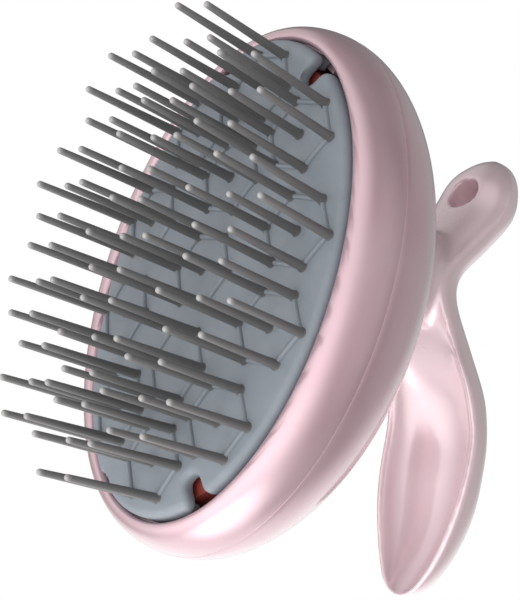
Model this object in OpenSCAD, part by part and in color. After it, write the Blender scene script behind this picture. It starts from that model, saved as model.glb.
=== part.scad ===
// Scalp massager brush: a hollow oval body with a two-lobed grip above it, and an elastomer
// pad with clusters of round-tipped pins below. It stands on its pin tips at z = 0, with the
// grip up (+Z), the body's long way along Y and its short way along X.

/* [Pins] */
// Length of an outer pin of a cluster, from the pad's face to the tip
pin_len = 17.8; // [10:0.1:24]
// Length of the pin in the middle of a cluster
centre_pin_len = 16.4; // [10:0.1:24]
// Diameter of a pin where it leaves the pad
pin_base_d = 1.5; // [1.2:0.1:2]
// Diameter of a pin at its rounded tip
pin_tip_d = 1.05; // [0.8:0.05:1.4]
// Distance from a cluster's middle pin to each of its six outer pins
pin_pitch = 6; // [4.5:0.1:6.2]
// Diameter of the head that holds a pin behind the pad
pin_head_d = 2.8; // [2.2:0.1:3.6]
// Thickness of that head
pin_head_t = 0.7; // [0.5:0.1:1]

/* [Pad] */
// Width of the pad
pad_w = 51.2; // [48:0.2:62]
// Length of the pad
pad_l = 76.2; // [72:0.2:92]
// Radius of the pad's crown across its width
crown_across = 115; // [95:1:200]
// Radius of the pad's crown along its length
crown_along = 414; // [250:1:600]
// Thickness of the pad between the pins
pad_t = 2.2; // [1.6:0.1:2.6]
// Width of the thick edge round the pad
pad_edge_w = 2.2; // [1.6:0.1:3]
// Distance from the pad's side edge to the nearest pin
side_margin = 2.4; // [1.8:0.1:4]
// Distance from the pad's end edge to the nearest pin
end_margin = 3.1; // [2.4:0.1:5]
// Distance from the pad's edge to the nearest pin of a corner cluster
corner_margin = 2.8; // [2:0.1:4.5]
// Width of the drain notches in the pad's edge
notch_w = 3; // [2:0.1:4]
// Depth of those notches
notch_depth = 4.4; // [3:0.1:5]
// Distance of the notches from the pad's middle plane
notch_x = 11.2; // [9:0.1:13]
// Width over which the pad's thick edge is cut away behind a notch
notch_relief_w = 6; // [4:0.5:6]

/* [Body] */
// Width of the rounded band beside the pad
band_side = 5.8; // [5:0.1:9]
// Width of that band at the pad's two ends
band_end = 4.1; // [3.8:0.1:8]
// Height of the seam between rim and shell over the pad's crown
seam_rise = 10; // [9.4:0.1:14]
// Height of the rim's lip over the pad's crown
lip_rise = 3; // [2:0.1:4]
// How far the lip is drawn in from the side of the body
lip_in_side = 4.3; // [3:0.1:5]
// How far the lip is drawn in from the end of the body
lip_in_end = 3.1; // [2:0.1:3.4]
// Height of the dome over the seam
dome_h = 22.1; // [17:0.1:30]
// Wall of the dome
shell_wall = 2.4; // [1.6:0.1:3]
// Width of the ledge that the pad's edge rests on
ledge_w = 1.7; // [1.2:0.1:2]
// Thickness of the ledge
ledge_t = 1.2; // [0.8:0.1:1.6]
// Height of the tongue that centres the shell on the rim
tongue_h = 2.2; // [1.5:0.1:3]
// Thickness of that tongue
tongue_t = 1.2; // [1:0.1:1.4]

/* [Carrier] */
// Thickness of the plate behind the pins
carrier_t = 1.5; // [1.2:0.1:2]
// Height of the stiffening wall on the plate, over the pad's edge
carrier_wall_h = 1.8; // [1:0.1:2.2]
// Thickness of that wall
carrier_wall_t = 1.4; // [1:0.1:2]

/* [Grip] */
// Distance of the stem from the body's middle, towards the short lobe
stem_y = 13; // [10:0.5:16]
// Length of the stem's waist
stem_l = 14; // [12:0.2:18]
// Width of the stem's waist
stem_w = 12.4; // [10:0.2:16]
// How far the stem's foot spreads over the dome
stem_flare = 4; // [2:0.5:6]
// Height of the grip's lower edge over the pad's crown
grip_rise = 52.5; // [48:0.5:62]
// Diameter of the hanging hole
hang_d = 5.6; // [4:0.1:6]
// Distance of the hanging hole from the body's middle
hang_y = 28.2; // [27:0.1:29.5]
// Slope of the short lobe at the hanging hole
hang_tilt = 28; // [15:1:32]
// How far the hanging hole's middle lies under the long lobe's edge
hang_drop = 3; // [2:0.5:5]

/* [Fasteners] */
// Core diameter of the two screws that hold the grip
screw_d = 2.6; // [2:0.1:3]
// Length of a screw's shank
screw_l = 12; // [8:0.5:14]
// Diameter of a screw's head
screw_head_d = 5; // [4:0.1:6]
// Height of a screw's head
screw_head_h = 1.8; // [1.2:0.1:2.4]
// Distance between the two screws
screw_pitch = 7; // [6:0.1:8]
// How far the screw bosses hang under the dome
boss_drop = 2.6; // [2.2:0.1:4]
// Wall of a screw boss round the screw's head
boss_wall = 1.2; // [0.8:0.1:2]
// Depth of the recess in a screw's head
recess_depth = 1; // [0.6:0.1:1.2]
// Width of the two slots that cross in it
recess_w = 0.8; // [0.5:0.1:1]

/* [Fits] */
// Gap all round the pad in the rim
pad_gap = 0.3; // [0.2:0.05:0.5]
// Gap between pieces that are pressed or glued together
seat_gap = 0.05; // [0.02:0.01:0.1]
// Radial gap round a screw in the dome
screw_gap = 0.3; // [0.2:0.05:0.6]

/* [Hidden] */
PINK = [0.86, 0.74, 0.77];
PALE_PINK = [0.9, 0.8, 0.82];
PAD_GREY = [0.55, 0.59, 0.62];
PIN_GREY = [0.42, 0.42, 0.42];
DARK_RED = [0.38, 0.14, 0.13];
STEEL = [0.7, 0.7, 0.72];

// Length of a cut that goes right through, and overshoot of one that opens a face
THROUGH = 100;
CUT = 1;

// Heights. The pad's crown is the lowest point of its face.
function crown_sag(x, y) = x * x / (2 * crown_across) + y * y / (2 * crown_along);
function tip_drop(x, y) = pin_len * cos(atan(norm([x / crown_across, y / crown_along])))
    + pin_tip_d / 2 * (1 - cos(atan(norm([x / crown_across, y / crown_along]))))
    - crown_sag(x, y);
hex_y = pin_pitch * sin(60);
pad_z = tip_drop(pin_pitch / 2, hex_y);
edge_spare = 0.5;
edge_rise = crown_sag(pad_w / 2, 0) + pad_t + pin_head_t + edge_spare;
ledge_z = pad_z + edge_rise + pad_gap;
seam_z = pad_z + seam_rise;
lip_z = pad_z + lip_rise;

// Half sizes of the body, the pad and the carrier
half_w = pad_w / 2 + band_side;
half_l = pad_l / 2 + band_end;
open_x = pad_w / 2 + pad_gap;
open_y = pad_l / 2 + pad_gap;
tray_x = pad_w / 2 - pad_edge_w;
tray_y = pad_l / 2 - pad_edge_w;

// Top of the dome over the stem, the screw bosses under it and the end of the screw holes
grip_seat = seam_z + dome_h * sqrt(1 - pow(stem_y / half_l, 2));
boss_z = grip_seat - shell_wall - boss_drop;
screw_hole_top = boss_z + screw_l + CUT;

// The stem starts inside the dome and ends inside the lobes
stem_sink = 4;
stem_top_drop = 7;

// Draft of the tongue, so that it stays inside the dome's curve
tongue_taper = (half_l - shell_wall) * (1 - sqrt(1 - pow(tongue_h / (dome_h - shell_wall), 2))) + seat_gap;

// Middles of the clusters
row_y = (pad_l / 2 - end_margin - hex_y) / 4;
side_x = pad_w / 2 - side_margin - pin_pitch;
corner_y = 3 * row_y + hex_y;
corner_x = pad_w / 2 * sqrt(1 - pow(corner_y / (pad_l / 2), 2)) - corner_margin - pin_pitch / 2;
CLUSTERS = [
    [0, -4 * row_y], [0, -2 * row_y], [0, 0], [0, 2 * row_y], [0, 4 * row_y],
    [side_x, -row_y], [side_x, row_y], [corner_x, -3 * row_y], [corner_x, 3 * row_y],
    [-side_x, -row_y], [-side_x, row_y], [-corner_x, -3 * row_y], [-corner_x, 3 * row_y]
];

// Each row: distance along Y from the stem, half width, height of the edge over grip_rise,
// height of the back over the edge, drop of the belly under the edge, width of the edge
LOBES = [
    [-23.4, 0.4, 0.6, 0.4, 0.3, 0.1],
    [-22.3, 3.4, 0, 3.4, 1.8, 0.4],
    [-19, 6.8, -1.4, 5.8, 2.8, 0.5],
    [-13.8, 8, -2.4, 6.9, 3.2, 0.5],
    [-7, 7.2, -6.4, 7.2, 2.6, 0.5],
    [0, 6.7, -10.2, 7.2, 1.6, 0.6],
    [9, 7.3, -5, 9.4, 0.2, 0.8],
    [12.5, 8.7, -3, 9.9, -2.6, 1.4],
    [16, 9.8, -1, 10.1, -5, 1.7],
    [22.4, 10.6, 1.9, 9.1, -5.8, 1.8],
    [28.5, 10.7, 2.8, 9.3, -6, 1.8],
    [34, 10.1, 3.4, 9.5, -6, 1.8],
    [39, 8.8, 4, 8.6, -5.2, 1.7],
    [43.6, 7, 4.5, 7, -3.6, 1.5],
    [47.4, 4.7, 4.6, 5.2, -1.8, 1.1],
    [49.2, 2.7, 4.6, 3, -0.7, 0.7],
    [50, 0.4, 4.6, 0.6, 0, 0.2]
];
LOBE_STEPS = 44;
lobe_start = LOBES[0][0];
lobe_end = LOBES[len(LOBES) - 1][0];

OVAL_SIDES = 72;
PAD_SIDES = 96;

CLUSTER_NAMES = ["pins_north", "pins_mid_north", "pins_centre", "pins_mid_south", "pins_south",
    "pins_right_upper", "pins_right_lower", "pins_right_north", "pins_right_south",
    "pins_left_upper", "pins_left_lower", "pins_left_north", "pins_left_south"];

// Curve through the columns of LOBES: a cubic between neighbouring rows
function row_at(y, i = 0) = i >= len(LOBES) - 2 || y < LOBES[i + 1][0] ? i : row_at(y, i + 1);
function slope_at(i, c) =
    let (a = max(i - 1, 0), b = min(i + 1, len(LOBES) - 1))
    (LOBES[b][c] - LOBES[a][c]) / (LOBES[b][0] - LOBES[a][0]);
function lobe(y, c) =
    let (i = row_at(y), h = LOBES[i + 1][0] - LOBES[i][0], t = (y - LOBES[i][0]) / h)
    (2 * pow(t, 3) - 3 * pow(t, 2) + 1) * LOBES[i][c]
    + (pow(t, 3) - 2 * pow(t, 2) + t) * h * slope_at(i, c)
    + (3 * pow(t, 2) - 2 * pow(t, 3)) * LOBES[i + 1][c]
    + (pow(t, 3) - pow(t, 2)) * h * slope_at(i + 1, c);

// A solid from rings of points, each ring with as many points as the next
module ring_solid(rings) {
    n = len(rings[0]);
    m = len(rings);
    points = [for (r = rings) for (p = r) p];
    sides = [for (i = [0:m - 2]) for (j = [0:n - 1])
        let (a = i * n + j, b = i * n + (j + 1) % n)
        each [[a, b, b + n], [a, b + n, a + n]]];
    caps = [[for (j = [n - 1:-1:0]) j], [for (j = [0:n - 1]) (m - 1) * n + j]];
    polyhedron(points, concat(sides, caps), convexity = 6);
}

// A ring-shaped solid: profile is a closed outline of [half width, half length, height]
module oval_ring(profile) {
    m = len(profile);
    n = OVAL_SIDES;
    points = [for (p = profile) for (j = [0:n - 1])
        [p[0] * cos(360 * j / n), p[1] * sin(360 * j / n), p[2]]];
    faces = [for (i = [0:m - 1]) for (j = [0:n - 1])
        let (k = (i + 1) % m, l = (j + 1) % n, a = i * n + j, b = i * n + l, c = k * n + l, d = k * n + j)
        each [[a, b, c], [a, c, d]]];
    polyhedron(points, faces, convexity = 6);
}

module oval(hx, hy) {
    polygon([for (j = [0:PAD_SIDES - 1]) [hx * cos(360 * j / PAD_SIDES), hy * sin(360 * j / PAD_SIDES)]]);
}

// Solid half ellipsoid over the seam
module half_dome(hx, hy, h) {
    translate([0, 0, seam_z])
        difference() {
            scale([hx, hy, h]) sphere(r = 1, $fn = 96);
            translate([-hx - CUT, -hy - CUT, -h - CUT]) cube([2 * (hx + CUT), 2 * (hy + CUT), h + CUT]);
        }
}

// Solid above a doubly curved face, depth above the pad's own face
module crown_block(depth) {
    across = crown_across - depth;
    along = crown_along - depth;
    reach = pad_w / 2 + 2 * CUT;
    half_turn = asin((pad_l / 2 + 2 * CUT) / along);
    block_h = 30;
    translate([0, 0, pad_z + crown_along])
        rotate([0, 90, 0])
            rotate([0, 0, -half_turn])
                rotate_extrude(angle = 2 * half_turn, $fn = 180)
                    intersection() {
                        translate([along - across, 0]) circle(r = across, $fn = 180);
                        translate([crown_along - block_h, -reach]) square([block_h + CUT, 2 * reach]);
                    }
}

module rear_shell() {
    color(PINK)
        difference() {
            union() {
                difference() {
                    half_dome(half_w, half_l, dome_h);
                    half_dome(half_w - shell_wall, half_l - shell_wall, dome_h - shell_wall);
                }
                intersection() {
                    half_dome(half_w - shell_wall / 2, half_l - shell_wall / 2, dome_h - shell_wall / 2);
                    at_screws() translate([0, 0, boss_z])
                        cylinder(d = screw_head_d + 2 * boss_wall, h = THROUGH, $fn = 48);
                }
            }
            at_screws() cylinder(d = screw_d + 2 * screw_gap, h = THROUGH, $fn = 48);
        }
}

module at_screws() {
    for (s = [-1, 1]) translate([0, -stem_y + s * screw_pitch / 2, 0]) children();
}

module front_rim() {
    step = [for (i = [0:6]) 90 * i / 6];
    outside = [for (a = step)
        [half_w - lip_in_side * (1 - cos(a)), half_l - lip_in_end * (1 - cos(a)),
            seam_z - (seam_z - lip_z) * sin(a)]];
    roll_x = half_w - lip_in_side - open_x;
    roll_y = half_l - lip_in_end - open_y;
    roll = [for (a = [30, 60, 90])
        [open_x + roll_x * cos(a), open_y + roll_y * cos(a), lip_z + roll_x * (1 - sin(90 - a))]];
    ledge_top = ledge_z + ledge_t;
    tongue_x = half_w - shell_wall;
    tongue_y = half_l - shell_wall;
    inside = [
        [open_x, open_y, ledge_z],
        [open_x - ledge_w, open_y - ledge_w, ledge_z],
        [open_x - ledge_w, open_y - ledge_w, ledge_top],
        [open_x, open_y, ledge_top],
        [tongue_x - tongue_t, tongue_y - tongue_t, seam_z],
        [tongue_x - tongue_t, tongue_y - tongue_t, seam_z + tongue_h],
        [tongue_x - tongue_taper, tongue_y - tongue_taper, seam_z + tongue_h],
        [tongue_x - seat_gap, tongue_y - seat_gap, seam_z]
    ];
    color(PINK)
        difference() {
            oval_ring(concat(outside, roll, inside));
            notches(pad_z, ledge_top + CUT, notch_w);
        }
}

// The four drain notches, cut from the pad's edge towards its middle
module notches(low, high, w) {
    edge_y = pad_l / 2 * sqrt(1 - pow(notch_x / (pad_w / 2), 2));
    lean = atan((notch_x / pow(pad_w / 2, 2)) / (edge_y / pow(pad_l / 2, 2)));
    for (sx = [-1, 1]) for (sy = [-1, 1])
        mirror([sx < 0 ? 1 : 0, 0, 0]) mirror([0, sy < 0 ? 1 : 0, 0])
            translate([notch_x, edge_y, low])
                rotate([0, 0, -lean]) {
                    translate([0, w / 2 - notch_depth, 0]) cylinder(d = w, h = high - low, $fn = 48);
                    translate([-w / 2, w / 2 - notch_depth, 0])
                        cube([w, notch_depth - w / 2 + pad_gap, high - low]);
                }
}

// One body from both sweeps, its foot cut to the dome
module grip_form() {
    resize([0, 0, 0])
        difference() {
            union() {
                lobes();
                stem();
            }
            half_dome(half_w + seat_gap, half_l + seat_gap, dome_h + seat_gap);
        }
}

module grip() {
    color(PALE_PINK)
        difference() {
            grip_form();
            at_screws() translate([0, 0, seam_z])
                cylinder(d = screw_d, h = screw_hole_top - seam_z, $fn = 48);
            translate([0, -hang_y, pad_z + grip_rise - hang_drop])
                rotate([-hang_tilt, 0, 0]) cylinder(d = hang_d, h = THROUGH, center = true, $fn = 64);
        }
}

// Both lobes in one sweep along Y, with a rounded back and a hollowed or rounded belly
module lobes() {
    back = [for (i = [0:14]) 180 * i / 14];
    belly = [for (i = [0:12]) 180 - 180 * i / 12];
    function ring(y) =
        let (w = lobe(y, 1), edge = pad_z + grip_rise + lobe(y, 2), up = lobe(y, 3), down = lobe(y, 4),
            inner = w - lobe(y, 5))
        concat(
            [for (a = back) [w * cos(a), y - stem_y, edge + up * sin(a)]],
            [for (a = belly) [inner * cos(a), y - stem_y, edge - down * sin(a)]]);
    mid = (lobe_start + lobe_end) / 2;
    half = (lobe_end - lobe_start) / 2;
    ring_solid([for (k = [0:LOBE_STEPS]) ring(mid - half * cos(180 * k / LOBE_STEPS))]);
}

// The stem flares at both ends: up into the lobes and down onto the dome
module stem() {
    foot = grip_seat - stem_sink;
    head = pad_z + grip_rise - stem_top_drop;
    steps = 14;
    head_flare = stem_flare / 2;
    waist_x = stem_w / 2 - stem_flare / 10;
    waist_y = stem_l / 2 - stem_flare / 10;
    ring_solid([for (k = [0:steps])
        let (t = k / steps, z = foot + (head - foot) * t,
            low = stem_flare * pow(1 - t, 3), high = head_flare * pow(t, 3))
        [for (j = [0:35])
            [(waist_x + low) * cos(10 * j), -(waist_y + low + high) * sin(10 * j) - stem_y, z]]]);
}

module grip_screws() {
    color(STEEL)
        at_screws() translate([0, 0, boss_z]) {
            difference() {
                translate([0, 0, -screw_head_h]) cylinder(d = screw_head_d, h = screw_head_h, $fn = 48);
                for (a = [0, 90]) rotate([0, 0, a])
                    translate([-screw_head_d / 3, -recess_w / 2, -screw_head_h - CUT])
                        cube([screw_head_d * 2 / 3, recess_w, recess_depth + CUT]);
            }
            cylinder(d = screw_d - 2 * seat_gap, h = screw_l, $fn = 48);
        }
}

module brush_pad() {
    color(PAD_GREY)
        difference() {
            intersection() {
                crown_block(0);
                translate([0, 0, pad_z - CUT]) linear_extrude(edge_rise + CUT) oval(pad_w / 2, pad_l / 2);
            }
            intersection() {
                crown_block(pad_t);
                translate([0, 0, pad_z]) linear_extrude(edge_rise + CUT) oval(tray_x, tray_y);
            }
            notches(pad_z - CUT, pad_z + edge_rise + CUT, notch_w);
            notches(pad_z + crown_sag(notch_x, pad_l / 2) + pad_t, pad_z + edge_rise + CUT, notch_relief_w);
            for (c = CLUSTERS) at_pins(c) {
                translate([0, 0, -CUT])
                    cylinder(d = pin_base_d + 2 * seat_gap, h = pad_t + 2 * CUT, $fn = 32);
                translate([0, 0, pad_t])
                    cylinder(d = pin_head_d + 2 * seat_gap, h = edge_rise, $fn = 32);
            }
        }
}

module pad_carrier() {
    plate = pad_t + pin_head_t + 2 * seat_gap;
    top = pad_z + edge_rise + carrier_wall_h;
    color(DARK_RED)
        difference() {
            intersection() {
                crown_block(plate);
                translate([0, 0, pad_z]) linear_extrude(top - pad_z)
                    oval(tray_x - pad_gap, tray_y - pad_gap);
            }
            intersection() {
                crown_block(plate + carrier_t);
                translate([0, 0, pad_z]) linear_extrude(top)
                    oval(tray_x - pad_gap - carrier_wall_t, tray_y - pad_gap - carrier_wall_t);
            }
        }
}

// Puts a child at each of a cluster's seven pins, its +Z pointing into the body, square to the pad
module at_pins(c) {
    at_pin(c[0], c[1]) children();
    for (i = [0:5]) at_pin(c[0] + pin_pitch * cos(60 * i), c[1] + pin_pitch * sin(60 * i)) children();
}

module at_pin(x, y) {
    translate([x, y, pad_z + crown_sag(x, y)])
        multmatrix(pin_frame(-x / crown_across, -y / crown_along)) children();
}

// Turns +Z onto the direction [u, v, 1]
function pin_frame(u, v) =
    let (z = [u, v, 1] / norm([u, v, 1]), x = [z[2], 0, -z[0]] / norm([z[0], z[2]]), y = cross(z, x))
    [[x[0], y[0], z[0], 0], [x[1], y[1], z[1], 0], [x[2], y[2], z[2], 0], [0, 0, 0, 1]];

module pin(length) {
    r = pin_tip_d / 2;
    translate([0, 0, -length + r]) cylinder(r1 = r, r2 = pin_base_d / 2, h = length - r, $fn = 32);
    translate([0, 0, -length + r]) sphere(r = r, $fn = 32);
    cylinder(d = pin_base_d, h = pad_t + seat_gap, $fn = 32);
    translate([0, 0, pad_t + seat_gap]) cylinder(d = pin_head_d, h = pin_head_t - seat_gap, $fn = 32);
}

module cluster(c) {
    color(PIN_GREY) {
        at_pin(c[0], c[1]) pin(centre_pin_len);
        for (i = [0:5]) at_pin(c[0] + pin_pitch * cos(60 * i), c[1] + pin_pitch * sin(60 * i)) pin(pin_len);
    }
}

rear_shell();
front_rim();
grip();
grip_screws();
brush_pad();
pad_carrier();
for (i = [0:len(CLUSTERS) - 1])
    cluster(CLUSTERS[i]);
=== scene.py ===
import math
import bmesh
import bpy
from mathutils import Matrix, Vector


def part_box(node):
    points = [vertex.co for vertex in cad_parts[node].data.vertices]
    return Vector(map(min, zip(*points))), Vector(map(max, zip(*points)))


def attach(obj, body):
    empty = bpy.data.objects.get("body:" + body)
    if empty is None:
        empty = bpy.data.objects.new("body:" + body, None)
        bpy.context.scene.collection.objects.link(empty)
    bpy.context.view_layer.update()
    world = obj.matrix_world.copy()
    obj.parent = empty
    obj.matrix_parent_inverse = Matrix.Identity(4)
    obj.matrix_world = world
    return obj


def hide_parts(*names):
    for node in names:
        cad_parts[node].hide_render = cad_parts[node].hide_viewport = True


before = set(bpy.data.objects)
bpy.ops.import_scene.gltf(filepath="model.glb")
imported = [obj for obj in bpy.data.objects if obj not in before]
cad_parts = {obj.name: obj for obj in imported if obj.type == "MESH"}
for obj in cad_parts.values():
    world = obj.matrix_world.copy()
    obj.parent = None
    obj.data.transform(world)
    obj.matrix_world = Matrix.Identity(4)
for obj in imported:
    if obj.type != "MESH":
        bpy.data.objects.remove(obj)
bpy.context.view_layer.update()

MM = 0.001

# ---- Camera, floor and light
# The brush is seen from below and from its right side, with the pins towards the camera.
# It hangs in front of a plain white ground, over a pale floor, in soft studio light.
camera_data = bpy.data.cameras.new("camera")
camera_data.lens = 156
camera_data.sensor_width = 36
camera_data.clip_end = 50
camera = bpy.data.objects.new("camera", camera_data)
camera.location = (0.30469, 0.06116, -0.22139)
camera.rotation_euler = [math.radians(a) for a in (-154.163, -45.619, -22.903)]
bpy.context.scene.collection.objects.link(camera)
bpy.context.scene.camera = camera
bpy.context.scene.view_settings.view_transform = "Standard"


def plain(name, colour, roughness):
    material = bpy.data.materials.new(name)
    material.use_nodes = True
    shader = material.node_tree.nodes["Principled BSDF"]
    shader.inputs["Base Color"].default_value = (*colour, 1)
    shader.inputs["Roughness"].default_value = roughness
    return material


FLOOR_Z = -0.5
bpy.ops.object.select_all(action="DESELECT")
bpy.ops.mesh.primitive_circle_add(vertices=96, radius=4, fill_type="NGON", location=(0, 0, FLOOR_Z))
floor = bpy.context.object
floor.name = "floor"
floor.data.materials.append(plain("pale_floor", (0.93, 0.92, 0.91), 0.7))
# The camera looks up from below, so the floor must let through the light that comes from there
floor.visible_diffuse = floor.visible_glossy = floor.visible_shadow = False

# The ground, like the floor, is seen by the camera only, so that it doesn't change the light
bpy.ops.mesh.primitive_uv_sphere_add(segments=48, ring_count=24, radius=4.5, location=(0, 0, 0))
ground = bpy.context.object
ground.name = "white_ground"
glow = bpy.data.materials.new("white_ground")
glow.use_nodes = True
glow.node_tree.nodes.remove(glow.node_tree.nodes["Principled BSDF"])
emission = glow.node_tree.nodes.new("ShaderNodeEmission")
emission.inputs["Color"].default_value = (1, 1, 1, 1)
glow.node_tree.links.new(emission.outputs[0], glow.node_tree.nodes["Material Output"].inputs["Surface"])
ground.data.materials.append(glow)
ground.visible_diffuse = ground.visible_glossy = ground.visible_shadow = False
ground.visible_transmission = ground.visible_volume_scatter = False

# The studio is lit softly from the left and below, with weaker lights behind and to the right,
# and is darkest above. Each light has its direction as seen from the camera (right, up and
# towards it), the cosine at which it fades out, and its power.
world = bpy.data.worlds.new("studio")
world.use_nodes = True
sky = world.node_tree
bpy.context.scene.world = world
camera_turn = camera.rotation_euler.to_matrix()
look = sky.nodes.new("ShaderNodeTexCoord").outputs["Generated"]
SHADE = 0.17
LIGHTS = [((-1, -1, 1), 0.3, 0.9), ((-0.7, 0.1, 0.7), 0.1, 1.15), ((0, -1, -1), 0.6, 1.1),
          ((-0.2, -0.85, 0.2), 0.85, 2.2), ((0.8, 0.1, 0.6), 0.7, 0.35), ((-1, 1, -1), 0.8, 0.5),
          ((0.8, 0, -0.6), 0.6, 0.3)]
brightness = None
for way, dark_from, power in LIGHTS:
    facing = sky.nodes.new("ShaderNodeVectorMath")
    facing.operation = "DOT_PRODUCT"
    facing.inputs[1].default_value = camera_turn @ Vector(way).normalized()
    sky.links.new(look, facing.inputs[0])
    lobe_light = sky.nodes.new("ShaderNodeMapRange")
    lobe_light.interpolation_type = "SMOOTHSTEP"
    sky.links.new(facing.outputs["Value"], lobe_light.inputs["Value"])
    for name, value in (("From Min", dark_from), ("From Max", 1), ("To Min", 0), ("To Max", power)):
        lobe_light.inputs[name].default_value = value
    total = sky.nodes.new("ShaderNodeMath")
    sky.links.new(lobe_light.outputs["Result"], total.inputs[0])
    total.inputs[1].default_value = SHADE
    if brightness:
        sky.links.new(brightness, total.inputs[1])
    brightness = total.outputs[0]
sky.links.new(brightness, sky.nodes["Background"].inputs["Strength"])
sky.nodes["Background"].inputs["Color"].default_value = (1, 0.99, 0.995, 1)

# ---- Rear shell
# The dome of the body: one injection moulding in pearl pink ABS, 2.4 mm thick, with two
# bosses inside for the screws that hold the grip. Its edge drops over the rim's tongue.
shell_low, shell_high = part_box("rear_shell")
HALF_W = shell_high.x
HALF_L = shell_high.y
SEAM_Z = shell_low.z
DOME_H = shell_high.z - SEAM_Z
SHELL_WALL = 2.4 * MM
SEAM_CHAMFER = 0.04 * MM
SCREW_Y = (-16.5 * MM, -9.5 * MM)
BOSS_R = 3.7 * MM
BOSS_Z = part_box("grip_screws")[0].z + 1.8 * MM
SCREW_HOLE_R = 1.6 * MM


def alone(piece):
    """Selects one object and makes it active"""
    if bpy.context.object and bpy.context.object.mode == "EDIT":
        bpy.ops.object.mode_set(mode="OBJECT")
    bpy.ops.object.select_all(action="DESELECT")
    piece.select_set(True)
    bpy.context.view_layer.objects.active = piece


def finish_with(piece, kind, **settings):
    """Adds a modifier and applies it"""
    alone(piece)
    modifier = piece.modifiers.new(kind.lower(), kind)
    for name, value in settings.items():
        setattr(modifier, name, value)
    bpy.ops.object.modifier_apply(modifier=modifier.name)


def combine(piece, tool, operation):
    """Cuts a tool out of a piece, or joins it on, and puts the tool away"""
    finish_with(piece, "BOOLEAN", object=tool, operation=operation, solver="EXACT")
    bpy.data.objects.remove(tool)


def edit(piece):
    alone(piece)
    bpy.ops.object.mode_set(mode="EDIT")


def pick(piece, kind, test):
    """In edit mode, selects the vertices, edges or faces that pass a test, and says how many"""
    bpy.ops.mesh.select_mode(type={"verts": "VERT", "edges": "EDGE", "faces": "FACE"}[kind])
    bpy.ops.mesh.select_all(action="DESELECT")
    mesh = bmesh.from_edit_mesh(piece.data)
    found = [e for e in getattr(mesh, kind) if test(e)]
    for e in found:
        e.select_set(True)
    mesh.select_flush_mode()
    bmesh.update_edit_mesh(piece.data)
    return len(found)


def rod(name, radius, low, high, at=(0, 0), sides=48):
    """An upright round bar, as a cutting tool or a boss"""
    bpy.ops.object.select_all(action="DESELECT")
    bpy.ops.mesh.primitive_cylinder_add(
        vertices=sides, radius=radius, depth=high - low, location=(at[0], at[1], (low + high) / 2))
    piece = bpy.context.object
    piece.name = name
    bpy.ops.object.transform_apply(location=True, rotation=True, scale=True)
    return piece


def dome(name, shrink, keep_below=False):
    """The dome's ellipsoid, drawn in by shrink"""
    bpy.ops.object.select_all(action="DESELECT")
    bpy.ops.mesh.primitive_uv_sphere_add(segments=144, ring_count=72, radius=1, location=(0, 0, SEAM_Z))
    piece = bpy.context.object
    piece.name = name
    piece.scale = (HALF_W - shrink, HALF_L - shrink, DOME_H - shrink)
    bpy.ops.object.transform_apply(location=True, rotation=True, scale=True)
    if not keep_below:
        edit(piece)
        bpy.ops.mesh.select_all(action="SELECT")
        bpy.ops.mesh.bisect(plane_co=(0, 0, SEAM_Z), plane_no=(0, 0, 1), use_fill=True, clear_inner=True)
        bpy.ops.object.mode_set(mode="OBJECT")
    return piece


shell = dome("shell", 0)
inner = dome("shell_inner", SHELL_WALL, keep_below=True)
combine(shell, inner, "DIFFERENCE")
for y in SCREW_Y:
    boss = rod("boss", BOSS_R, BOSS_Z, SEAM_Z + DOME_H, (0, y))
    combine(boss, dome("boss_top", SHELL_WALL / 2), "INTERSECT")
    combine(shell, boss, "UNION")
for y in SCREW_Y:
    combine(shell, rod("screw_hole", SCREW_HOLE_R, SEAM_Z, SEAM_Z + 2 * DOME_H, (0, y)), "DIFFERENCE")
edit(shell)
pick(shell, "edges", lambda e: all(
    abs(v.co.z - SEAM_Z) < 1e-6 and (v.co.x / HALF_W) ** 2 + (v.co.y / HALF_L) ** 2 > 0.97 for v in e.verts))
bpy.ops.mesh.bevel(offset=SEAM_CHAMFER, segments=2, affect="EDGES")
bpy.ops.object.mode_set(mode="OBJECT")
bpy.ops.object.shade_smooth_by_angle(angle=math.radians(35))


def node(tree, kind, **inputs):
    """A shader node with its inputs set or linked"""
    made = tree.nodes.new(kind)
    for name, value in inputs.items():
        socket = made.inputs[name.replace("_", " ")]
        if isinstance(value, bpy.types.NodeSocket):
            tree.links.new(value, socket)
        else:
            socket.default_value = value
    return made


def mixed(tree, share, first, second, blend="MIX"):
    """Mixes two colours"""
    made = tree.nodes.new("ShaderNodeMix")
    made.data_type = "RGBA"
    made.blend_type = blend
    for socket, value in ((made.inputs[0], share), (made.inputs[6], first), (made.inputs[7], second)):
        if isinstance(value, bpy.types.NodeSocket):
            tree.links.new(value, socket)
        else:
            socket.default_value = value
    return made.outputs[2]


def graded(tree, value, low, high, to_low=0.0, to_high=1.0):
    """Carries a value from one range to another"""
    made = node(tree, "ShaderNodeMapRange", Value=value)
    for i, bound in enumerate((low, high, to_low, to_high)):
        made.inputs[i + 1].default_value = bound
    return made.outputs[0]


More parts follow.
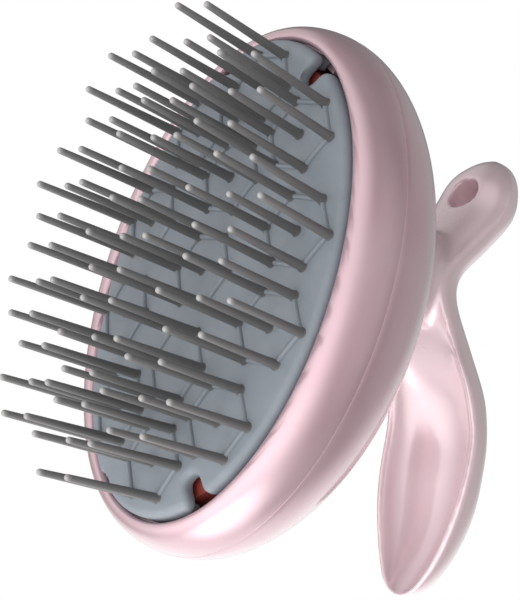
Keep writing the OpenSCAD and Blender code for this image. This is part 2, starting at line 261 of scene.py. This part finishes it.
def pearl(name, deep, light, mica, smooth, matt):
    """Pearl plastic: mica flakes in a pink resin, clouded by how it flowed, under a clear gloss"""
    material = bpy.data.materials.new(name)
    material.use_nodes = True
    tree = material.node_tree
    shader = tree.nodes["Principled BSDF"]
    place = tree.nodes.new("ShaderNodeTexCoord").outputs["Object"]
    cloud = node(tree, "ShaderNodeTexNoise", Vector=place, Scale=45.0, Detail=3.0, Distortion=0.6)
    streak_place = node(tree, "ShaderNodeMapping", Vector=place, Scale=(60, 60, 260))
    streak = node(tree, "ShaderNodeTexNoise", Vector=streak_place.outputs[0], Scale=1.0, Detail=2.0)
    flow = mixed(tree, 0.4, cloud.outputs[0], streak.outputs[0])
    body = mixed(tree, graded(tree, flow, 0.35, 0.65), (*deep, 1), (*light, 1))
    tree.links.new(body, shader.inputs["Base Color"])
    tree.links.new(graded(tree, flow, 0.35, 0.65, smooth, matt), shader.inputs["Roughness"])
    shader.inputs["Metallic"].default_value = mica
    shader.inputs["Coat Weight"].default_value = 1.0
    shader.inputs["Coat Roughness"].default_value = 0.14
    shader.inputs["Coat IOR"].default_value = 1.75
    return material


pearl_body = pearl("pearl_pink", (0.60, 0.39, 0.44), (0.66, 0.46, 0.51), 0.4, 0.2, 0.26)
shell.data.materials.clear()
shell.data.materials.append(pearl_body)
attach(shell, "body")
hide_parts("rear_shell")

# ---- Front rim
# The ring round the pad: a second pearl pink moulding, rounded from the seam down to its lip
# and rolled in to the pad's edge. A ledge inside it holds the pad, a tongue centres the shell.
rim_low, rim_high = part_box("front_rim")
pad_low, pad_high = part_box("brush_pad")
LIP_Z = rim_low.z
LIP_IN_SIDE = 4.3 * MM
LIP_IN_END = 3.1 * MM
PAD_GAP = 0.3 * MM
SEAT_GAP = 0.05 * MM
OPEN_X = pad_high.x + PAD_GAP
OPEN_Y = pad_high.y + PAD_GAP
LEDGE_Z = pad_high.z + PAD_GAP
LEDGE_W = 1.7 * MM
LEDGE_T = 1.2 * MM
TONGUE_T = 1.2 * MM
TONGUE_TOP = rim_high.z
TONGUE_TAPER = 0.3 * MM
ROUND_STEPS = 18
ROLL_STEPS = 9


def quarter(steps):
    return [math.pi / 2 * i / steps for i in range(steps + 1)]


outside = [(HALF_W - LIP_IN_SIDE * (1 - math.cos(a)), HALF_L - LIP_IN_END * (1 - math.cos(a)),
            SEAM_Z - (SEAM_Z - LIP_Z) * math.sin(a)) for a in quarter(ROUND_STEPS)]
roll_x = HALF_W - LIP_IN_SIDE - OPEN_X
roll_y = HALF_L - LIP_IN_END - OPEN_Y
roll = [(OPEN_X + roll_x * (1 - math.sin(a)), OPEN_Y + roll_y * (1 - math.sin(a)),
         LIP_Z + roll_x * (1 - math.cos(a))) for a in quarter(ROLL_STEPS)][1:]
tongue_x = HALF_W - SHELL_WALL - SEAT_GAP
tongue_y = HALF_L - SHELL_WALL - SEAT_GAP
inside = [
    (OPEN_X, OPEN_Y, LEDGE_Z),
    (OPEN_X - LEDGE_W, OPEN_Y - LEDGE_W, LEDGE_Z),
    (OPEN_X - LEDGE_W, OPEN_Y - LEDGE_W, LEDGE_Z + LEDGE_T),
    (OPEN_X, OPEN_Y, LEDGE_Z + LEDGE_T),
    (tongue_x - TONGUE_T, tongue_y - TONGUE_T, SEAM_Z),
    (tongue_x - TONGUE_T, tongue_y - TONGUE_T, TONGUE_TOP),
    (tongue_x - TONGUE_TAPER, tongue_y - TONGUE_TAPER, TONGUE_TOP),
    (tongue_x, tongue_y, SEAM_Z),
    (HALF_W - SEAM_CHAMFER, HALF_L - SEAM_CHAMFER, SEAM_Z),
]
section = outside[1:] + roll + inside


def ringed(name, sides, section, closed=False):
    """Carries a section round: rings of (half width, half length, height), each extruded from the last"""
    bpy.ops.object.select_all(action="DESELECT")
    bpy.ops.mesh.primitive_circle_add(vertices=sides, radius=1, fill_type="NOTHING")
    piece = bpy.context.object
    piece.name = name
    edit(piece)
    bpy.ops.mesh.select_all(action="SELECT")
    at_x, at_y, at_z = section[0]
    bpy.ops.transform.resize(value=(at_x, at_y, 1))
    bpy.ops.transform.translate(value=(0, 0, at_z))
    for x, y, z in section[1:]:
        bpy.ops.mesh.extrude_edges_move(TRANSFORM_OT_translate={"value": (0, 0, z - at_z)})
        bpy.ops.transform.resize(value=(x / at_x, y / at_y, 1), center_override=(0, 0, z))
        at_x, at_y, at_z = x, y, z
    pick(piece, "edges", lambda e: len(e.link_faces) == 1)
    if closed:
        bpy.ops.mesh.bridge_edge_loops()
    else:
        bpy.ops.mesh.fill_holes(sides=0)
    bpy.ops.mesh.select_all(action="SELECT")
    bpy.ops.mesh.normals_make_consistent(inside=False)
    bpy.ops.object.mode_set(mode="OBJECT")
    return piece


def box_bar(name, low, high):
    """A rectangular bar between two corners, as a cutting tool"""
    bpy.ops.object.select_all(action="DESELECT")
    bpy.ops.mesh.primitive_cube_add(size=1, location=[(a + b) / 2 for a, b in zip(low, high)])
    piece = bpy.context.object
    piece.name = name
    piece.scale = [b - a for a, b in zip(low, high)]
    bpy.ops.object.transform_apply(location=True, rotation=True, scale=True)
    return piece


# The four drain notches: a round-ended slot from the pad's edge, its mouth flared to both sides
NOTCH_W = 3 * MM
NOTCH_DEPTH = 4.4 * MM
NOTCH_RELIEF_W = 6 * MM
NOTCH_X = 11.2 * MM
PAD_X = pad_high.x
PAD_Y = pad_high.y
notch_y = PAD_Y * math.sqrt(1 - (NOTCH_X / PAD_X) ** 2)
notch_lean = math.atan2(NOTCH_X / PAD_X ** 2, notch_y / PAD_Y ** 2)


def notch_cutter(side, end, low, high, width, flare, past):
    inner_y = width / 2 - NOTCH_DEPTH
    cutter = rod("notch_end", width / 2, low, high, (0, inner_y))
    combine(cutter, box_bar("notch_slot", (-width / 2, inner_y, low), (width / 2, past, high)), "UNION")
    if flare:
        mouth = box_bar("mouth", (-width / 2 - flare, -flare, low), (width / 2 + flare, past, high))
        for s in (-1, 1):
            corner = (s * (width / 2 + flare), -flare)
            combine(mouth, rod("lip", flare, low - MM, high + MM, corner), "DIFFERENCE")
        combine(cutter, mouth, "UNION")
    place = Matrix.Translation((NOTCH_X, notch_y, 0)) @ Matrix.Rotation(-notch_lean, 4, "Z")
    cutter.data.transform(Matrix.Diagonal((side, end, 1, 1)) @ place)
    edit(cutter)
    bpy.ops.mesh.select_all(action="SELECT")
    bpy.ops.mesh.normals_make_consistent(inside=False)
    bpy.ops.object.mode_set(mode="OBJECT")
    return cutter


NOTCHES = [(side, end) for side in (-1, 1) for end in (-1, 1)]
rim = ringed("rim", 180, section, closed=True)
for side, end in NOTCHES:
    combine(rim, notch_cutter(side, end, LIP_Z, LEDGE_Z + LEDGE_T + MM, NOTCH_W, 0, PAD_GAP), "DIFFERENCE")
alone(rim)
bpy.ops.object.shade_smooth_by_angle(angle=math.radians(35))
rim.data.materials.append(pearl_body)
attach(rim, "body")
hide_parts("front_rim")

# ---- Grip
# One moulding in a paler pearl pink: a waisted stem that grows into two lobes, a long hollowed
# one for two fingers and a short solid one with a hanging hole. Two screws hold it to the dome.
grip_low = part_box("grip")[0]
CROWN_Z = pad_low.z
GRIP_RISE = 52.5 * MM
STEM_Y = 13 * MM
STEM_L = 14 * MM
STEM_W = 12.4 * MM
STEM_FLARE = 4 * MM
HANG_Y = 28.2 * MM
HANG_R = 2.8 * MM
HANG_TILT = 28
HANG_DROP = 3 * MM
STEM_SINK = 0.5 * MM
STEM_TOP_DROP = 7 * MM
STEM_STEPS = 14
JOINT_DROP = 0.5 * MM
JOINT_HALF_L = 8 * MM
JOINT_HALF_H = 3 * MM
JOINT_FADE = 4 * MM
SCREW_R = 1.3 * MM
GRIP_VOXEL = 0.34 * MM

# In millimetres, each row: distance along Y from the stem, half width, height of the edge over
# GRIP_RISE, height of the back over the edge, drop of the belly under it, width of the edge
LOBES = [
    (-23.4, 0.4, 0.6, 0.4, 0.3, 0.1),
    (-22.3, 3.4, 0, 3.4, 1.8, 0.4),
    (-19, 6.8, -1.4, 5.8, 2.8, 0.5),
    (-13.8, 8, -2.4, 6.9, 3.2, 0.5),
    (-7, 7.2, -6.4, 7.2, 2.6, 0.5),
    (0, 6.7, -10.2, 7.2, 1.6, 0.6),
    (9, 7.3, -5, 9.4, 0.2, 0.8),
    (12.5, 8.7, -3, 9.9, -2.6, 1.4),
    (16, 9.8, -1, 10.1, -5, 1.7),
    (22.4, 10.6, 1.9, 9.1, -5.8, 1.8),
    (28.5, 10.7, 2.8, 9.3, -6, 1.8),
    (34, 10.1, 3.4, 9.5, -6, 1.8),
    (39, 8.8, 4, 8.6, -5.2, 1.7),
    (43.6, 7, 4.5, 7, -3.6, 1.5),
    (47.4, 4.7, 4.6, 5.2, -1.8, 1.1),
    (49.2, 2.7, 4.6, 3, -0.7, 0.7),
    (50, 0.4, 4.6, 0.6, 0, 0.2),
]
LOBE_STEPS = 44
BACK_SIDES = 14
BELLY_SIDES = 12
LOBE_SIDES = BACK_SIDES + BELLY_SIDES + 2


def lobe(y, column):
    """A smooth curve through one column of LOBES"""
    i = max(n for n in range(len(LOBES) - 1) if n == 0 or LOBES[n][0] <= y)

    def slope(n):
        a, b = LOBES[max(n - 1, 0)], LOBES[min(n + 1, len(LOBES) - 1)]
        return (b[column] - a[column]) / (b[0] - a[0])

    span = LOBES[i + 1][0] - LOBES[i][0]
    t = (y - LOBES[i][0]) / span
    return ((2 * t ** 3 - 3 * t ** 2 + 1) * LOBES[i][column] + (t ** 3 - 2 * t ** 2 + t) * span * slope(i)
            + (3 * t ** 2 - 2 * t ** 3) * LOBES[i + 1][column] + (t ** 3 - t ** 2) * span * slope(i + 1))


def lobe_point(y, k):
    """Point k of the ring at y: over the back, then under the belly"""
    half, edge, up, down, strip = [lobe(y, column) for column in range(1, 6)]
    if k <= BACK_SIDES:
        turn = math.pi * k / BACK_SIDES
        x, z = half * math.cos(turn), edge + up * math.sin(turn)
    else:
        turn = math.pi - math.pi * (k - BACK_SIDES - 1) / BELLY_SIDES
        x, z = (half - strip) * math.cos(turn), edge - down * math.sin(turn)
    return Vector((x * MM, y * MM - STEM_Y, CROWN_Z + GRIP_RISE + z * MM))


middle = (LOBES[0][0] + LOBES[-1][0]) / 2
reach = (LOBES[-1][0] - LOBES[0][0]) / 2
stations = [middle - reach * math.cos(math.pi * i / LOBE_STEPS) for i in range(LOBE_STEPS + 1)]
grip = ringed("grip_lobes", LOBE_SIDES, [(1, 1, y) for y in stations])
for v in grip.data.vertices:
    k = round(math.atan2(v.co.y, v.co.x) / (2 * math.pi) * LOBE_SIDES) % LOBE_SIDES
    v.co = lobe_point(v.co.z, k)
edit(grip)
bpy.ops.mesh.select_all(action="SELECT")
bpy.ops.mesh.normals_make_consistent(inside=False)
bpy.ops.object.mode_set(mode="OBJECT")
finish_with(grip, "SUBSURF", levels=2, render_levels=2)

stem_foot = grip_low.z - STEM_SINK
stem_head = CROWN_Z + GRIP_RISE - STEM_TOP_DROP
stem_section = []
for i in range(STEM_STEPS + 1):
    t = i / STEM_STEPS
    low, high = STEM_FLARE * (1 - t) ** 3, STEM_FLARE / 2 * t ** 3
    stem_section.append((STEM_W / 2 - STEM_FLARE / 10 + low, STEM_L / 2 - STEM_FLARE / 10 + low + high,
                         stem_foot + (stem_head - stem_foot) * t))
stem = ringed("stem", 72, stem_section)
stem.data.transform(Matrix.Translation((0, -STEM_Y, 0)))
combine(grip, stem, "UNION")
hang_hole = rod("hang_hole", HANG_R, -12 * MM, 12 * MM, sides=64)
hang_hole.data.transform(Matrix.Translation((0, -HANG_Y, CROWN_Z + GRIP_RISE - HANG_DROP))
                         @ Matrix.Rotation(math.radians(-HANG_TILT), 4, "X"))
combine(grip, hang_hole, "DIFFERENCE")

# The mould leaves no hard corner: remeshed fine, eased all over, and most where stem meets lobe
finish_with(grip, "REMESH", mode="VOXEL", voxel_size=GRIP_VOXEL)
joint_group = grip.vertex_groups.new(name="stem_joint")
for v in grip.data.vertices:
    past_side = max(abs(v.co.y + STEM_Y) - JOINT_HALF_L, 0)
    past_top = max(abs(v.co.z - stem_head + JOINT_DROP) - JOINT_HALF_H, 0)
    joint_group.add([v.index], max(0, 1 - (past_side + past_top) / JOINT_FADE), "REPLACE")
finish_with(grip, "SMOOTH", factor=0.5, iterations=40, vertex_group="stem_joint")
finish_with(grip, "SMOOTH", factor=0.5, iterations=8)
grip.vertex_groups.clear()
combine(grip, dome("foot_cut", -SEAT_GAP, keep_below=True), "DIFFERENCE")
for y in SCREW_Y:
    combine(grip, rod("screw_socket", SCREW_R, SEAM_Z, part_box("grip_screws")[1].z + MM, (0, y)), "DIFFERENCE")
grip.name = "grip_moulding"
alone(grip)
bpy.ops.object.shade_smooth_by_angle(angle=math.radians(40))
pearl_grip = pearl("pearl_pale_pink", (0.79, 0.61, 0.65), (0.84, 0.66, 0.70), 0.25, 0.26, 0.32)
grip.data.materials.clear()
grip.data.materials.append(pearl_grip)
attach(grip, "body")
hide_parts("grip")

# ---- Grip screws
# Two self-tapping screws in plain steel, driven from inside the dome up into the stem.
# They can't be seen once the pad is in place.
steel = plain("plain_steel", (0.55, 0.55, 0.56), 0.3)
steel_tree = steel.node_tree
steel_place = steel_tree.nodes.new("ShaderNodeTexCoord").outputs["Object"]
turned = node(steel_tree, "ShaderNodeTexNoise", Vector=steel_place, Scale=3000.0)
steel_shader = steel_tree.nodes["Principled BSDF"]
steel_shader.inputs["Metallic"].default_value = 1.0
steel_roughness = graded(steel_tree, turned.outputs[0], 0.3, 0.7, 0.24, 0.4)
steel_tree.links.new(steel_roughness, steel_shader.inputs["Roughness"])
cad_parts["grip_screws"].material_slots[0].material = steel

# ---- Brush pad
# A soft blue-grey elastomer moulding, crowned both ways so that the pins fan out. Thin raised
# ribs join the outer pins of each cluster, and four notches in its edge let water drain.
CROWN_ACROSS = 115 * MM
CROWN_ALONG = 414 * MM
PAD_T = 2.2 * MM
PAD_EDGE_W = 2.2 * MM
PAD_VOXEL = 0.4 * MM
EDGE_ROLL = 0.9 * MM
MOUTH_FLARE = 1.7 * MM
EDGE_RISE = pad_high.z - CROWN_Z


def crown_sag(x, y):
    return x ** 2 / (2 * CROWN_ACROSS) + y ** 2 / (2 * CROWN_ALONG)


# The pad is shaped flat, face down, and crowned afterwards
pad = ringed("pad", 144, [(PAD_X, PAD_Y, 0), (PAD_X, PAD_Y, EDGE_RISE)])
tray_x, tray_y = PAD_X - PAD_EDGE_W, PAD_Y - PAD_EDGE_W
combine(pad, ringed("tray", 144, [(tray_x, tray_y, PAD_T), (tray_x, tray_y, EDGE_RISE + MM)]), "DIFFERENCE")
for side, end in NOTCHES:
    combine(pad, notch_cutter(side, end, -MM, EDGE_RISE + MM, NOTCH_W, MOUTH_FLARE, 2 * MM), "DIFFERENCE")
    combine(pad, notch_cutter(side, end, PAD_T, EDGE_RISE + MM, NOTCH_RELIEF_W, 0, 2 * MM), "DIFFERENCE")
edit(pad)
pick(pad, "edges", lambda e: all(abs(v.co.z) < 1e-6 for v in e.verts))
bpy.ops.mesh.bevel(offset=EDGE_ROLL, segments=4, affect="EDGES")
bpy.ops.object.mode_set(mode="OBJECT")
finish_with(pad, "REMESH", mode="VOXEL", voxel_size=PAD_VOXEL)
finish_with(pad, "SMOOTH", factor=0.5, iterations=3)
for v in pad.data.vertices:
    share = min(1, max(0, (EDGE_RISE - v.co.z) / (EDGE_RISE - PAD_T)))
    v.co.z += CROWN_Z + share * crown_sag(v.co.x, v.co.y)

# Middles of the clusters, and the pins round each
PIN_PITCH = 6 * MM
SIDE_MARGIN = 2.4 * MM
END_MARGIN = 3.1 * MM
CORNER_MARGIN = 2.8 * MM
hex_y = PIN_PITCH * math.sin(math.radians(60))
row_y = (PAD_Y - END_MARGIN - hex_y) / 4
side_x = PAD_X - SIDE_MARGIN - PIN_PITCH
corner_y = 3 * row_y + hex_y
corner_x = PAD_X * math.sqrt(1 - (corner_y / PAD_Y) ** 2) - CORNER_MARGIN - PIN_PITCH / 2
CLUSTERS = {"north": (0, -4 * row_y), "mid_north": (0, -2 * row_y), "centre": (0, 0),
            "mid_south": (0, 2 * row_y), "south": (0, 4 * row_y)}
for hand, side in (("right", 1), ("left", -1)):
    CLUSTERS[hand + "_upper"] = (side * side_x, -row_y)
    CLUSTERS[hand + "_lower"] = (side * side_x, row_y)
    CLUSTERS[hand + "_north"] = (side * corner_x, -3 * row_y)
    CLUSTERS[hand + "_south"] = (side * corner_x, 3 * row_y)


def outer_pins(x, y):
    turns = [math.radians(60 * i) for i in range(6)]
    return [(x + PIN_PITCH * math.cos(a), y + PIN_PITCH * math.sin(a)) for a in turns]


def on_crown(x, y):
    return Vector((x, y, CROWN_Z + crown_sag(x, y)))


def square_to_crown(x, y):
    """Turns +Z into the body, square to the pad's face at that point, and moves there"""
    z = Vector((-x / CROWN_ACROSS, -y / CROWN_ALONG, 1)).normalized()
    x_way = Vector((z.z, 0, -z.x)).normalized()
    turn = Matrix((x_way, z.cross(x_way), z)).transposed().to_4x4()
    return Matrix.Translation(on_crown(x, y)) @ turn


def copied(pattern, name, place):
    """A copy of a piece, with its own mesh, put in its place"""
    piece = pattern.copy()
    piece.data = pattern.data.copy()
    piece.name = name
    piece.data.transform(place)
    bpy.context.scene.collection.objects.link(piece)
    return piece


def joined(pieces):
    alone(pieces[0])
    for piece in pieces:
        piece.select_set(True)
    bpy.ops.object.join()
    return pieces[0]


RIB_HALF_W = 0.4 * MM
RIB_H = 0.55 * MM
rib_pattern = ringed("rib_pattern", 12, [(RIB_HALF_W, RIB_H, -0.5), (RIB_HALF_W, RIB_H, 0.5)])
ribs = []
for x, y in CLUSTERS.values():
    feet = outer_pins(x, y)
    for a, b in zip(feet, feet[1:] + feet[:1]):
        start, stop = on_crown(*a), on_crown(*b)
        along = stop - start
        turn = along.to_track_quat("Z", "Y").to_matrix().to_4x4()
        middle = (start + stop) / 2
        ribs.append(copied(rib_pattern, "rib", Matrix.Translation(middle) @ turn
                           @ Matrix.Diagonal((1, 1, along.length, 1))))
bpy.data.objects.remove(rib_pattern)
pad = joined([pad] + ribs)
alone(pad)
bpy.ops.object.shade_smooth_by_angle(angle=math.radians(50))

elastomer = plain("blue_grey_elastomer", (0.24, 0.272, 0.302), 0.45)
pad_tree = elastomer.node_tree
pad_place = pad_tree.nodes.new("ShaderNodeTexCoord").outputs["Object"]
pad_shader = pad_tree.nodes["Principled BSDF"]
pad_cloud = node(pad_tree, "ShaderNodeTexNoise", Vector=pad_place, Scale=120.0, Detail=4.0, Roughness=0.6)
pad_grain = node(pad_tree, "ShaderNodeTexNoise", Vector=pad_place, Scale=4200.0, Detail=2.0)
pad_colour = mixed(pad_tree, graded(pad_tree, pad_cloud.outputs[0], 0.3, 0.7),
                   (0.22, 0.252, 0.282, 1), (0.26, 0.292, 0.322, 1))
pad_tree.links.new(pad_colour, pad_shader.inputs["Base Color"])
pad_roughness = graded(pad_tree, pad_grain.outputs[0], 0.3, 0.7, 0.38, 0.52)
pad_tree.links.new(pad_roughness, pad_shader.inputs["Roughness"])
pad_bump = node(pad_tree, "ShaderNodeBump", Height=pad_grain.outputs[0], Strength=0.12, Distance=0.00003)
pad_tree.links.new(pad_bump.outputs[0], pad_shader.inputs["Normal"])
pad.data.materials.clear()
pad.data.materials.append(elastomer)
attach(pad, "insert")
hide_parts("brush_pad")

# ---- Pad carrier
# A stiff plate pressed into the pad's back. It shuts the pins' heads in, keeps the
# pad's crown, and shows through the drain notches. Its dark red is painted shade: the pink
# inside of the hollow body in shadow, as seen through the notches, put on the plate as its colour.
carrier = plain("painted_shade_dark_red", (0.32, 0.06, 0.045), 0.5)
carrier_tree = carrier.node_tree
carrier_place = carrier_tree.nodes.new("ShaderNodeTexCoord").outputs["Object"]
carrier_grain = node(carrier_tree, "ShaderNodeTexNoise", Vector=carrier_place, Scale=900.0, Detail=3.0)
# Painted shade: two close dark reds, mottled by the grain, stand in for the shaded pink inside seen through the
# notches
carrier_painted_shade_colour = mixed(carrier_tree, graded(carrier_tree, carrier_grain.outputs[0], 0.3, 0.7),
                       (0.3, 0.052, 0.04, 1), (0.34, 0.064, 0.05, 1))
carrier_shader = carrier_tree.nodes["Principled BSDF"]
carrier_tree.links.new(carrier_painted_shade_colour, carrier_shader.inputs["Base Color"])
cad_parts["pad_carrier"].material_slots[0].material = carrier

# ---- Pins
# 91 tapered pins in grey nylon, seven to a cluster. Each passes through the pad square to its
# face and is held by a flat head behind it. The middle pin of a cluster is a little shorter.
PIN_LEN = 17.8 * MM
CENTRE_PIN_LEN = 16.4 * MM
PIN_BASE_R = 0.75 * MM
PIN_TIP_R = 0.525 * MM
PIN_HEAD_R = 1.4 * MM
PIN_HEAD_T = 0.65 * MM
PIN_FILLET = 0.18 * MM
TIP_STEPS = 5
pin_nylon = plain("grey_nylon", (0.17, 0.168, 0.165), 0.4)
pin_tree = pin_nylon.node_tree
pin_shader = pin_tree.nodes["Principled BSDF"]
pin_place = pin_tree.nodes.new("ShaderNodeTexCoord").outputs["Object"]
along_pin = pin_tree.nodes.new("ShaderNodeAttribute")
along_pin.attribute_name = "along"
pin_grain = node(pin_tree, "ShaderNodeTexNoise", Vector=pin_place, Scale=1800.0, Detail=2.0)
pin_shade = mixed(pin_tree, graded(pin_tree, along_pin.outputs["Fac"], 0.1, 0.9),
                  (0.135, 0.134, 0.133, 1), (0.20, 0.197, 0.194, 1))
pin_tip = mixed(pin_tree, graded(pin_tree, along_pin.outputs["Fac"], 0.94, 1.0),
                pin_shade, (0.42, 0.415, 0.41, 1))
pin_tree.links.new(pin_tip, pin_shader.inputs["Base Color"])
pin_roughness = graded(pin_tree, pin_grain.outputs[0], 0.3, 0.7, 0.33, 0.46)
pin_tree.links.new(pin_roughness, pin_shader.inputs["Roughness"])


def pin(length):
    """One pin on the Z axis, its tip down and the pad's face at z = 0"""
    head_z = PAD_T + PIN_HEAD_T
    tip_z = -length + PIN_TIP_R
    outline = [(PIN_HEAD_R, head_z), (PIN_HEAD_R, PAD_T), (PIN_BASE_R, PAD_T), (PIN_BASE_R, 0.2 * MM),
               (PIN_BASE_R + PIN_FILLET, 0.02 * MM), (PIN_BASE_R + PIN_FILLET / 4, -PIN_FILLET),
               (PIN_BASE_R, -2 * PIN_FILLET)]
    outline += [(PIN_BASE_R + (PIN_TIP_R - PIN_BASE_R) * t, tip_z * t) for t in (0.25, 0.5, 0.75)]
    outline += [(PIN_TIP_R * math.cos(a), tip_z - PIN_TIP_R * math.sin(a)) for a in quarter(TIP_STEPS)[:-1]]
    outline.append((PIN_TIP_R * 0.08, -length))
    piece = ringed("pin_pattern", 20, [(r, r, z) for r, z in outline])
    along = piece.data.attributes.new("along", "FLOAT", "POINT")
    for v in piece.data.vertices:
        along.data[v.index].value = min(1, max(0, -v.co.z / length))
    bpy.ops.object.shade_smooth_by_angle(angle=math.radians(50))
    piece.data.materials.append(pin_nylon)
    return piece


long_pin = pin(PIN_LEN)
middle_pin = pin(CENTRE_PIN_LEN)
for place_name, (x, y) in CLUSTERS.items():
    cluster = [copied(middle_pin, "cluster_" + place_name, square_to_crown(x, y))]
    for outer in outer_pins(x, y):
        cluster.append(copied(long_pin, "outer_pin", square_to_crown(*outer)))
    cluster = joined(cluster)
    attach(cluster, "insert")
    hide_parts("pins_" + place_name)
bpy.data.objects.remove(long_pin)
bpy.data.objects.remove(middle_pin)
